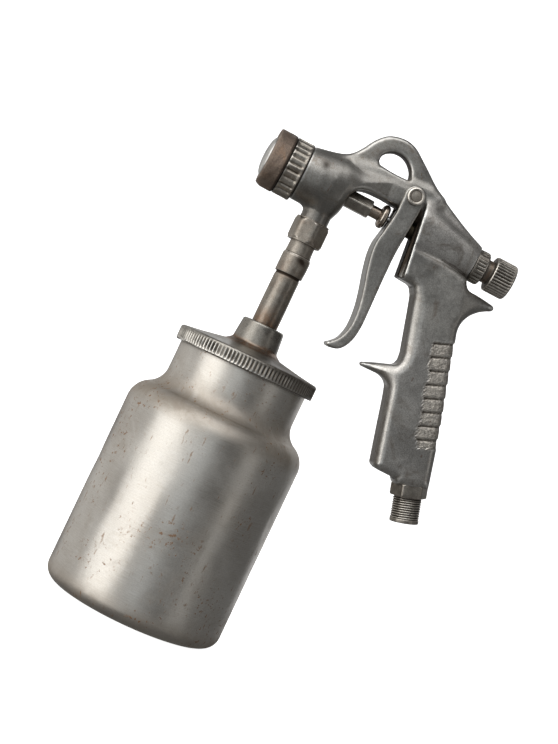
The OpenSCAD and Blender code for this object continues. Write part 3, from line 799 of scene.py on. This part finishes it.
def patch(amount, p_ends, q_ends, y_ends=None):
    """A soft-edged box on the casting, of that amount. Its ends are given as low, high and softness."""
    found = amount * between(cp, *p_ends) * between(cq, *q_ends)
    return found if y_ends is None else found * between(cy, *y_ends)


cast_field, cast_low, cast_zone = casting()
gun_casting, cast_points = field_piece(
    "gun_casting", "gun", "cast_alloy", cast_field, cast_low, CAST_STEP, ["body_casting"], spread=3, gain=2.4
)
cp, cq, cy = cast_points[:, 0], cast_points[:, 1], np.abs(cast_points[:, 2])
zone_index = [
    np.clip(np.round((at - start) / CAST_STEP).astype(int), 0, number - 1)
    for at, start, number in zip((cp, cq), cast_low, cast_zone.shape)
]
store(gun_casting.data, "cast_zone", cast_zone[tuple(zone_index)] * np.clip((cy - 4) / 3, 0, 1))

# painted light: paler on the housing and the lower grip; painted shade: darker on the barrel, the beak and
# the bridge
lighter = np.maximum(patch(1.1, (55, 95, 6), (-9, 40, 4)), patch(0.75, (70, 130, 8), (-140, -50, 12)))
darker = patch(0.4, (-20, 16, 8), (-20, 4, 8)) + patch(0.15, (92, 140, 8), (-45, -10, 8))
darker += patch(0.2, (-14, 46, 6), (7, 50, 3))
store(gun_casting.data, "painted_light_and_shade", lighter - darker)

# painted shade, nearly black: the slot, the arch, the hook's eye, the crease below the housing and faces that
# look forward; and dark marks on the stub, smears by the gland, and two smudges on the barrel
eye_shade = 0.85 * between(np.hypot(cp - 27, cq - 28), -9, 12, 2) * between(cy, -9, 4.4, 1.2)
# painted shade on faces that look forward, by their normals
facing_front = np.clip((-(per_point(gun_casting.data, "normal") @ P_AXIS) - 0.75) / 0.2, 0, 1)
smudges = 0.75 * np.exp(-((cp + 8.5) ** 2 / 5 + (cq - 8.6) ** 2 / 6))
smudges += 0.55 * np.exp(-((cp + 11.5) ** 2 / 22 + (cq + 8.5) ** 2 / 9))
casting_soot_and_shade = [
    patch(1, (44, 57.2, 1), (-29, 14, 4), (-9, 8.6, 2)),
    patch(0.8, (11.5, 54, 2), (-6, 10, 3), (-9, 6.6, 2)),
    eye_shade,
    patch(0.5, (60, 91, 3), (-10.0, -8.6, 0.7), (7, 14, 2)),
    0.6 * facing_front * between(cq, -126, -26, 2),
    patch(0.35, (-16, 1, 5), (-25.5, -15.5, 2.5)),
    patch(0.4, (31, 48, 3), (-4, 7, 3)),
    smudges,
]
store(gun_casting.data, "soot_and_shade", np.max(casting_soot_and_shade, 0))

# ---------------------------------------------------------------------------- the trigger

TRIGGER_STEP = 0.5


def trigger_field():
    """The trigger's field and its low corner: a plate bent to a channel, open to the rear."""
    low, high = (34.0, -82.0, 0.0), (54.0, 26.0, 11.0)
    p, q, y, flat = grid(low, high, TRIGGER_STEP)
    outside = flat(
        [*arc((PIVOT_P, PIVOT_Q), 6.3, -15, 195, 16),
         *curve([(38.3, 14.0), (38.5, 4), (37.1, -7.5), (36.0, -15), (36.6, -23), (39.0, -33),
                 (41.5, -41.5), (43.6, -50), (44.7, -58), (44.6, -65), (42.6, -71.6), (38.9, -75.9)], 5),
         *arc((38.7, -77.5), 1.4, 100, 262, 6),
         *curve([(41.0, -78.9), (44.6, -77.9), (47.9, -74.4), (50.0, -68.4), (50.6, -60), (50.0, -46),
                 (49.2, -30), (48.9, -16), (49.6, -4), (50.3, 8), (50.4, 14.5)], 5)]
    )
    channel = flat([(41.0, 60), (41.0, 0), (39.5, -14), (40.7, -22), (43.6, -33), (46.0, -42), (49.2, -54),
                    (70, -62), (70, 60)])
    toe = np.clip((-58 - q) / 16, 0, 1)
    f = plate(outside, y, 9.8 - 2.6 * toe**1.5, 1.5)
    f = cut_soft(f, plate(channel, y, 7.2, 0.8), 0.8)
    window = np.maximum(np.maximum(y - 7.2, 5.5 - q), p - 60)
    slot = np.maximum(y - 2.5, np.maximum(-4.5 - q, q - 12))
    hole = np.sqrt((p - PIVOT_P) ** 2 + (q - PIVOT_Q) ** 2) - 3.03
    for cut in (window, slot, hole):
        f = np.maximum(f, -cut)
    return f.astype(np.float32), low


field, field_low = trigger_field()
field_piece(
    "trigger_lever", "trigger", "cast_alloy", field, field_low, TRIGGER_STEP, ["trigger"], spread=3, gain=1.0
)

# ---------------------------------------------------------------------------- nozzle end

RING_RIBS = 23


def ring_shape(radius, height, angle):
    """Coarse ribs, worn unevenly."""
    ribs = wave(angle + 0.03 * uneven(angle, 3) + math.pi / RING_RIBS, RING_RIBS, 3.0)
    worn = 1.0 + 0.4 * uneven(angle, 4, 23)
    lands = 0.2 * (1 + uneven(angle, 14, 30))
    band = between(height, -27.2, -19.4, 1.2) * (radius > 16)
    return radius - band * (0.95 * ribs * worn + lands)


ring = turned_piece(
    "retaining_ring_ribbed", "retaining_ring", "worn_steel",
    rounded([(14.75, -27.9), (17.05, -27.9), (17.05, -17.7), (13.1, -17.7), (13.1, -24.4), (15.5, -24.4),
             (15.5, -26.6), (14.75, -26.6)],
            [0.2, 0.9, 1.1, 0.2, 0.1, 0.1, 0.1, 0.1]),
    ON_NEEDLE, ["retaining_ring"], RING_RIBS * 12, ring_shape, 0.8,
)
radius, height, angle = local_points(ring, ON_NEEDLE)
ends = np.maximum(between(height, -30, -27.5, 0.5), between(height, -18.6, -17, 0.4))
store(ring.data, "soot_and_shade", ends * 0.85)


def cap_shape(radius, height, angle):
    """A knocked skin, worn back on the low side of its face."""
    low_side = np.clip(-np.cos(angle), 0, 1) ** 3 * between(height, -45, -36.6, 2.5)
    return radius - (0.12 * (1 + uneven(angle + height * 0.1, 6, 12)) + low_side) * (radius > 16)


air_cap = turned_piece(
    "air_cap_shell", "air_cap", "browned_steel",
    rounded([(11.55, -38.5), (17.3, -38.5), (17.3, -28.2), (14.6, -28.2), (14.6, -26.5), (15.4, -26.5),
             (15.4, -24.8), (12.6, -24.8), (12.6, -35.5), (11.55, -35.5)],
            [0.4, 1.5, 0.8, 0.2, 0.2, 0.2, 0.2, 0.2, 0.2, 0.1]),
    ON_NEEDLE, ["air_cap"], 192, cap_shape, 1.0,
)
radius, height, angle = local_points(air_cap, ON_NEEDLE)
store(air_cap.data, "soot_and_shade", between(height, -29.3, -20, 0.6) * 0.9)
dome = [(11.5 * math.cos(a), -38.3 - 2.9 * math.sin(a)) for a in np.linspace(0.12, 1.35, 10)]
turned_piece(
    "air_cap_disc", "air_cap", "pale_alloy",
    [(11.5, -35.5), (11.5, -38.3), *dome, (2.2, -40.6), (2.2, -39.6), (8, -35.5)],
    ON_NEEDLE, ["air_cap_insert"], step=1.0,
)

# ---------------------------------------------------------------------------- gland


def gland_shape(radius, height, angle):
    """A hexagon with worn corners outside, and a round bore."""
    worn = np.minimum(hexagon_line(10, angle + math.pi / 6), 5.6)
    return np.where(radius > 4.4, np.minimum(radius, worn), radius)


turned_piece(
    "gland_hexagon", "gun", "worn_steel",
    rounded([(2.7, 11.5), (5.7, 11.5), (5.7, 26), (3.56, 26), (3.56, 20), (2.7, 20)],
            [0.1, 0.4, 0.7, 0.2, 0.1, 0.1]),
    ON_NEEDLE, ["gland_housing"], 144, gland_shape, 0.8,
)
turned_piece(
    "gland_knob", "gun", "worn_brass",
    rounded([(1.68, 13), (2.65, 13), (2.65, 16), (3.5, 16), (3.5, 32), (5.6, 32.1), (7.0, 33.4),
             (7.0, 35.2), (5.6, 36.4), (1.68, 36.4)],
            [0.1, 0.1, 0.1, 0.2, 0.3, 0.9, 0.9, 0.9, 0.9, 0.2]),
    ON_NEEDLE, ["gland_screw"], 128, None, 0.8,
)

# ---------------------------------------------------------------------------- rear end


def bush_shape(radius, height, angle):
    ribs = wave(angle + 0.02 * uneven(angle, 8), 24, 2.0)
    worn = 1 + 0.5 * uneven(angle, 9, 20)
    return radius - between(height, 93.0, 98.2, 0.8) * (radius > 9.2) * 0.4 * ribs * worn


bush = turned_piece(
    "rear_bush_ribbed", "gun", "worn_steel",
    rounded([(6.9, 81), (8.45, 81), (8.45, 91.7), (9.8, 91.7), (9.8, 98.9), (6.9, 98.9)],
            [0.1, 0.3, 0.1, 0.7, 1.2, 0.4]),
    ON_NEEDLE, ["rear_bush"], 300, bush_shape, 0.8,
)
radius, height, angle = local_points(bush, ON_NEEDLE)
store(bush.data, "soot_and_shade", between(height, 80, 92.4, 0.5) * 0.8)


KNOB_RIBS = 34


def knob_shape(radius, height, angle):
    ribs = wave(angle, KNOB_RIBS, 0.75)
    return radius - between(height, 104.2, 114.9, 0.9) * (radius > 9.4) * 0.75 * (1 - ribs)


knob = turned_piece(
    "fluid_knob_knurled", "fluid_knob", "dark_steel",
    rounded([(4.3, 84), (6.75, 84), (6.75, 103.2), (10.4, 103.2), (10.4, 116.2), (0, 116.2), (0, 100),
             (4.3, 100)],
            [0.1, 0.2, 0.2, 1.0, 1.7, 0, 0, 0.1]),
    ON_NEEDLE, ["fluid_knob"], KNOB_RIBS * 10, knob_shape, 0.9,
)
radius, height, angle = local_points(knob, ON_NEEDLE)
store(knob.data, "soot_and_shade", between(height, 84, 100.2, 0.5) * 0.8 + between(height, 102.4, 103.3, 0.2) * 0.6)
store(knob.data, "rust", between(height, 100.3, 102.6, 0.5) * 0.6)

# ---------------------------------------------------------------------------- trigger pin

turned_piece(
    "pivot_pin", "gun", "worn_steel",
    rounded([(0, -9.9), (2.94, -9.9), (2.94, 10.0), (5.0, 10.0), (5.0, 12.0), (4.2, 12.4), (3.5, 12.2),
             (3.2, 11.9), (0, 12.1)],
            [0, 0.2, 0.1, 0.3, 0.5, 0.3, 0.2, 0.2, 0]),
    PIVOT, ["trigger_pin"], 96, None, 0.5,
)

# the screw's head, with a screwdriver slot pressed into its end face
SCREW_TOP, SLOT_WIDTH, SLOT_DEPTH = 12.0, 1.0, 0.9
screw_outline = rounded([(0, 10.0), (4.5, 10.0), (4.5, SCREW_TOP), (0, SCREW_TOP)], [0, 0.2, 0.5, 0])
points, faces = revolved(refined(screw_outline, 0.25), PIVOT_FAR, 128)
off = points - PIVOT_FAR[0]
in_slot = (np.abs(off @ PIVOT_FAR[1]) < SLOT_WIDTH / 2) & (off @ PIVOT_FAR[3] > SCREW_TOP - 0.3)
points[in_slot] -= SLOT_DEPTH * PIVOT_FAR[3]
make_piece("pivot_screw", "gun", "worn_steel", points, faces, ["trigger_pin_screw"])

# ---------------------------------------------------------------------------- inlet

THREAD_PITCH = 1.337


def inlet_shape(radius, height, angle):
    """A worn thread below and a hexagon above."""
    turn = np.mod(height / THREAD_PITCH - angle / TAU, 1.0)
    groove = (0.5 + 0.5 * np.cos(TAU * turn)) ** 1.3
    worn = 0.8 + 0.2 * uneven(angle, 12, 6)
    threaded = between(height, 2.4, 13.4, 0.9) * (radius > 7)
    cut = radius - threaded * 0.85 * groove * worn
    on_hex = (height > 14.9) & (height < 22.1) & (radius > 8.7)
    return np.where(on_hex, np.minimum(radius, hexagon_line(19, angle)), cut)


inlet_outline = rounded(
    [(4.5, 0), (8.3, 0), (8.33, 1.6), (8.33, 13.6), (7.7, 14.2), (7.7, 15), (10.3, 15), (10.7, 15.8),
     (10.7, 21.4), (10.3, 22), (7, 22), (7, 34), (4.5, 34)],
    [0.2, 0.9, 0.1, 0.1, 0.1, 0.1, 0.4, 0.4, 0.4, 0.4, 0.1, 0.2, 0.2],
)
points, faces = revolved(refined(inlet_outline, THREAD_PITCH / 9), INLET, 144, inlet_shape)
make_piece("inlet_nipple", "gun", "dark_steel", points, faces, ["air_inlet_nipple"], 40, spread=1, gain=0.6)

# ---------------------------------------------------------------------------- coupling, tube, lid

NUT_TURN = math.radians(44)


def nut_shape(radius, height, angle):
    chamfer = 10.45 - 0.75 * (1 - between(height, 228.0, 238.6, 1.6))
    soft = join_soft(hexagon_line(19, angle + NUT_TURN + math.pi / 6), 10.3, 0.5)
    return np.where(radius > 9, np.minimum(soft, chamfer), radius)


turned_piece(
    "coupling_nut_worn", "coupling_nut", "tarnished_steel",
    rounded([(7.4, 226.6), (9.7, 226.6), (10.4, 227.6), (10.4, 239.2), (9.7, 240.1), (8.48, 240.1),
             (8.48, 232.9), (7.4, 232.9)],
            [0.2, 0.5, 0.5, 0.5, 0.5, 0.2, 0.1, 0.1]),
    UPRIGHT, ["coupling_nut"], 192, nut_shape, 0.7, sharp=25,
)


DENT_ANGLE = math.radians(-66)


def from_dent(angle):
    """The angle from the sleeve's dent, from -pi to pi."""
    return np.mod(angle - DENT_ANGLE + math.pi, TAU) - math.pi


def sleeve_shape(radius, height, angle):
    """The sleeve bulges a little to the rear and has a dent on its -Y side."""
    side = np.clip(np.cos(angle - 0.3), 0, 1) ** 2
    bulge = between(height, 210.5, 219.0, 5) * side * 0.4
    dent = np.exp(-(from_dent(angle) ** 2) / 0.16 - ((height - 216.5) ** 2) / 5)
    return np.where(radius > 7.2, radius - 0.45 + bulge - 0.3 * dent, radius)


sleeve = turned_piece(
    "fluid_sleeve", "gun", "tarnished_steel",
    rounded([(7.56, 207.2), (8.6, 207.2), (8.6, 218.0), (8.25, 219.0), (8.0, 219.2), (7.75, 223.5),
             (7.7, 233), (8.2, 233), (8.2, 236), (5.5, 236), (5.5, 214), (7.56, 214)],
            [0.1, 0.5, 1.0, 0.3, 0.3, 1.2, 0.1, 0.2, 0.2, 0.2, 0.1, 0.1]),
    UPRIGHT, ["fluid_tailpiece"], 144, sleeve_shape, 0.6,
)
radius, height, angle = local_points(sleeve, UPRIGHT)
off = from_dent(angle)
blob = np.exp(-((off / 0.38) ** 2) - ((height - 216.4 + 2.5 * off) / 1.9) ** 2) * 1.25
store(sleeve.data, "soot_and_shade", np.clip(np.maximum(blob, between(height, 200, 207.6, 0.5)), 0, 1))


def tube_shape(radius, height, angle):
    neck = between(height, 205.9, 207.2, 0.3) * 0.35
    return np.where(radius > 7, radius - neck - 0.06 * (1 + uneven(angle + height * 0.05, 21, 5)), radius)


tube = turned_piece(
    "fluid_tube_tarnished", "gun", "tarnished_steel",
    rounded([(5.5, 162), (7.55, 162), (7.55, 214), (5.5, 214)], 0.2), UPRIGHT,
    ["fluid_tube"], 128, tube_shape, 0.7,
)
radius, height, angle = local_points(tube, UPRIGHT)
store(tube.data, "soot_and_shade", between(height, 205.8, 208, 0.4))
store(tube.data, "rust", np.clip((186 - height + 3 * uneven(angle, 41, 5)) / 9, 0, 1) * 0.75)

LID_RIBS = 118


def lid_shape(radius, height, angle):
    band = between(height, 150.2, 155.6, 0.8) * (radius > 40)
    ribs = wave(angle + 0.012 * uneven(angle, 31, 12), LID_RIBS, 0.8)
    deep = 0.72 * (1 + 0.2 * uneven(angle, 32, 30))
    lip = 0.16 * (1 + uneven(angle, 33, 14)) * between(height, 147, 149.6, 0.5) * (radius > 40)
    return radius - band * deep * (1 - ribs) - lip


lid = turned_piece(
    "cup_lid_knurled", "gun", "lid_alloy",
    rounded([(38.5, 148.8), (41.3, 148.8), (41.6, 149.5), (41.7, 157.2), (37, 157.8), (30, 158.8),
             (16.8, 161.2), (13.5, 163.6), (12.6, 173.0), (12.3, 176.2), (7.56, 176.2), (7.56, 162),
             (4.9, 162), (4.9, 151), (9, 151), (9, 155), (38.5, 155)],
            [0.3, 0.4, 0.2, 2.0, 1.2, 2, 3, 2.4, 1, 2.6, 0.4, 0.1, 0.1, 0.1, 0.1, 0.1, 0.1], 5),
    UPRIGHT, ["cup_lid"], LID_RIBS * 6, lid_shape, 1.2, sharp=40, spread=1,
)
radius, height, angle = local_points(lid, UPRIGHT)
foot = between(height, 159.6, 164.4 + 0.8 * uneven(angle, 42, 7), 1.6) * between(radius, 12, 20, 3)
tube_seat = between(height, 175.4, 178, 0.8) * between(radius, 7, 9.5, 1)
store(lid.data, "rust", np.maximum(foot * 0.85, tube_seat))
# painted shade: darker on one side of the lid's knurled band, and under its lip
dim_side = np.clip(np.cos(angle + 0.25) + 0.15 * uneven(angle, 43, 9), 0, 1)
dim_side = 0.72 * dim_side * between(height, 149, 162, 1)
under = 0.75 * between(height, 140, 149.7, 0.5) * between(radius, 38, 41.2, 0.5)
store(lid.data, "soot_and_shade", np.maximum(dim_side, under))

# ---------------------------------------------------------------------------- cup


def cup_line(inset):
    """The cup's face from the base's centre to the rim, set in from the outer face."""
    r, shoulder, neck, neck_r, side, base = 52.5, 14.0, 12.0, 38.3, 109.0, 8.0
    across = neck_r + neck - (r - shoulder)
    rise = math.sqrt((shoulder + neck) ** 2 - across**2)
    turn = math.degrees(math.atan2(rise, across))
    return [
        (0, inset),
        *arc((r - base, base), base - inset, -90, 0, 10),
        *arc((r - shoulder, side), shoulder - inset, 0, turn, 14),
        *arc((neck_r + neck, side + rise), neck + inset, 180 + turn, 180, 10),
        (neck_r - inset, 153.5),
    ]


def cup_shape(radius, height, angle):
    """Shallow knocks and a little ovality."""
    rng = np.random.default_rng(5)
    out = radius - 0.10 * (1 + np.cos(2 * angle + 0.7)) * (radius > 30)
    for _ in range(26):
        at_angle, at_height = rng.uniform(0, TAU), rng.uniform(12, 128)
        wide, tall, deep = rng.uniform(0.05, 0.22), rng.uniform(4, 16), rng.uniform(0.1, 0.45)
        off = np.mod(angle - at_angle + math.pi, TAU) - math.pi
        out = out - deep * np.exp(-((off / wide) ** 2) - ((height - at_height) / tall) ** 2) * (radius > 30)
    return out


cup_outline = cup_line(0) + cup_line(1.6)[::-1]
turned_piece(
    "paint_cup", "cup", "spun_aluminium", cup_outline, UPRIGHT, ["cup"], 256, cup_shape, 3.0, sharp=40,
)

# ---------------------------------------------------------------------------- the CAD nodes that stay

for entry in frame["record"]["subparts"]:
    node = frame["nodes"].get(entry["node"])
    if node is not None and not node.hide_render:
        node.data.materials.clear()
        # the inner pieces that show behind the trigger take the near-black brass, painted shade
        in_shadow = entry["node"] in ("air_valve_stem", "valve_guide", "needle_collar")
        node.data.materials.append(SHADOW_DARK_BRASS if in_shadow else LOOKS[entry["material_slot"]])

# ---------------------------------------------------------------------------- stage, light and camera

scene = bpy.context.scene
scene.view_settings.view_transform = "Standard"
scene.view_settings.look = "None"


def backdrop():
    """A pale floor that curves up behind the object."""
    bend = [(1.2 + math.sin(a), 1.0 - math.cos(a)) for a in np.linspace(0, math.pi / 2, 16)[1:]]
    profile = [(-3.0, 0.0), (1.2, 0.0), *bend, (2.2, 4.0)]
    wide = 5.0
    points = [(x, y, z) for y, z in profile for x in (-wide, wide)]
    faces = [[2 * i, 2 * i + 1, 2 * i + 3, 2 * i + 2] for i in range(len(profile) - 1)]
    mesh = bpy.data.meshes.new("studio_floor")
    mesh.from_pydata(points, [], faces)
    mesh.shade_smooth()
    white = Tree("studio_white")
    inputs = {
        "Base Color": (0.9, 0.9, 0.9), "Roughness": 0.9,
        "Emission Color": (1, 1, 1), "Emission Strength": 0.9,
    }
    for name, value in inputs.items():
        white.put(white.shader.inputs[name], value)
    mesh.materials.append(white.material)
    floor = bpy.data.objects.new("studio_floor", mesh)
    scene.collection.objects.link(floor)
    floor.visible_glossy = False
    floor.visible_shadow = False


def direction(azimuth, rise):
    """A unit vector: azimuth 0 looks along +Y and turns to +X, and rise lifts it, both in degrees."""
    a, e = math.radians(azimuth), math.radians(rise)
    return Vector((math.sin(a) * math.cos(e), math.cos(a) * math.cos(e), math.sin(e)))


def softbox(name, azimuth, elevation, distance, width, height, power, colour=(1, 1, 1)):
    """An area light that looks at the object's middle. Azimuth 0 is on the camera's side, and goes right."""
    light = bpy.data.lights.new(name, "AREA")
    light.shape = "RECTANGLE"
    light.size, light.size_y = width, height
    light.energy = power
    light.color = colour
    lamp = bpy.data.objects.new(name, light)
    middle = Vector((0.02, 0, 0.16))
    lamp.location = middle - distance * direction(-azimuth, -elevation)
    lamp.rotation_euler = (middle - lamp.location).to_track_quat("-Z", "Y").to_euler()
    scene.collection.objects.link(lamp)


backdrop()
world = bpy.data.worlds.new("studio")
world.use_nodes = True
world.node_tree.nodes["Background"].inputs["Color"].default_value = (0.15, 0.15, 0.15, 1)
world.node_tree.nodes["Background"].inputs["Strength"].default_value = 1.0
scene.world = world

softbox("key", -55, 4, 1.3, 1.1, 2.0, 12.5, (1.0, 0.99, 0.97))
softbox("left_wall", -120, 4, 1.3, 1.5, 2.0, 5, (1.0, 0.98, 0.95))
softbox("front", -10, 6, 1.5, 0.7, 1.6, 2.1, (0.9, 0.96, 1.0))
softbox("right_strip", 51, 0, 1.5, 0.3, 1.8, 1.0, (1.0, 0.98, 0.94))
softbox("top", -30, 55, 1.3, 1.5, 1.1, 9)
softbox("behind", 165, 15, 1.4, 1.5, 1.6, 5)

AIM = Vector((0.0188, 0, 0.1561))
DISTANCE = 0.84
ROLL = math.radians(25.4)
FOCAL_IN_HEIGHTS = 2.016129

sight = direction(6.3, 0.5)
right = sight.cross(Vector((0, 0, 1))).normalized()
up = right.cross(sight)
turned_right = right * math.cos(ROLL) + up * math.sin(ROLL)
turned_up = up * math.cos(ROLL) - right * math.sin(ROLL)
camera_data = bpy.data.cameras.new("view")
camera_data.sensor_fit = "VERTICAL"
camera_data.sensor_height = 36
camera_data.lens = 36 * FOCAL_IN_HEIGHTS
camera_data.clip_start = 0.01
camera = bpy.data.objects.new("view", camera_data)
facing = Matrix((turned_right, turned_up, -sight)).transposed().to_4x4()
camera.matrix_world = Matrix.Translation(AIM - sight * DISTANCE) @ facing
scene.collection.objects.link(camera)
scene.camera = camera
